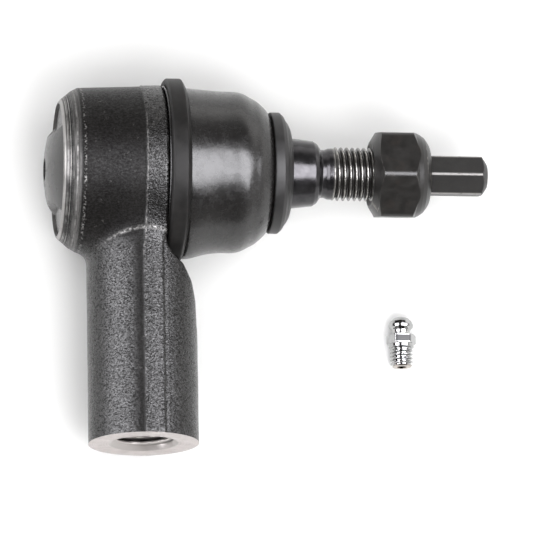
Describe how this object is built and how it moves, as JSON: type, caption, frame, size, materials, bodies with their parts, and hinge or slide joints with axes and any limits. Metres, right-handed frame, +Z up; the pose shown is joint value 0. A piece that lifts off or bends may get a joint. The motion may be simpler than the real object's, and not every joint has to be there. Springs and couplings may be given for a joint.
{
  "type": "tie rod end",
  "caption": "Tie rod end: forged ball joint housing with female rod thread, tapered stud, rubber dust boot, lock nut and loose grease fitting.",
  "frame": {"origin": "centre of the rod thread where its full thread begins, 1.5 mm inside the shank's mouth", "axes": "+X along the ball stud towards its hex tip, -Y along the shank out of its threaded mouth, +Z up, away from the surface the part lies on"},
  "size_m": [0.1161, 0.0967, 0.0484],
  "materials": {
    "forging": "pebbled satin black paint over forged steel",
    "cover": "smooth satin black",
    "bearing": "greased sintered steel",
    "spring": "spring steel",
    "stud": "black oxide",
    "boot": "satin black rubber",
    "ring": "smooth satin black",
    "collar": "matte black",
    "nut": "black oxide",
    "nylon": "smooth nylon",
    "zinc": "bright zinc plate"
  },
  "bodies": {
    "housing": {"socket_housing": "forging", "end_cover": "cover", "rear_ball_seat": "bearing", "preload_spring": "spring", "boot_retaining_ring": "ring", "dust_boot": "boot"},
    "bearing_shell": {"front_ball_seat": "bearing"},
    "boot_cuff": {"boot_collar": "collar", "neck_ring": "spring"},
    "stud": {"ball_stud": "stud"},
    "nut_insert": {"nylon_insert": "nylon"},
    "nut": {"lock_nut": "nut"},
    "grease_fitting": {"fitting_body": "zinc", "fitting_spring": "spring", "fitting_spring_seat": "zinc"},
    "check_ball": {"fitting_check_ball": "spring"}
  },
  "joints": [
    {"name": "swing_direction", "type": "hinge", "parent": "housing", "child": "bearing_shell", "pos_m": [0, 0.071, 0], "axis": [1, 0, 0], "continuous": true},
    {"name": "stud_swing", "type": "hinge", "parent": "bearing_shell", "child": "boot_cuff", "pos_m": [0, 0.071, 0], "axis": [0, 0, 1], "range_deg": [-20, 20], "deforming": ["dust_boot"]},
    {"name": "stud_spin", "type": "hinge", "parent": "boot_cuff", "child": "stud", "pos_m": [0, 0.071, 0], "axis": [1, 0, 0], "continuous": true},
    {"name": "nut_travel", "type": "slide", "parent": "stud", "child": "nut_insert", "axis": [1, 0, 0], "range_m": [-0.0084, 0.0168]},
    {"name": "nut_turn", "type": "hinge", "parent": "nut_insert", "child": "nut", "pos_m": [0, 0.071, 0], "axis": [1, 0, 0], "range_deg": [-1980, 3960]},
    {"name": "fitting_lift", "type": "slide", "parent": "housing", "child": "grease_fitting", "axis": [0, 0, 1], "range_m": [0, 0.004]},
    {"name": "check_ball_travel", "type": "slide", "parent": "grease_fitting", "child": "check_ball", "axis": [0, -1, 0], "range_m": [0, 0.0012], "stiffness_N_per_m": 200, "deforming": ["fitting_spring"]}
  ],
  "couplings": [
    {"joint": "nut_travel", "follows": "nut_turn", "m_per_rad": 0.00023873}
  ]
}
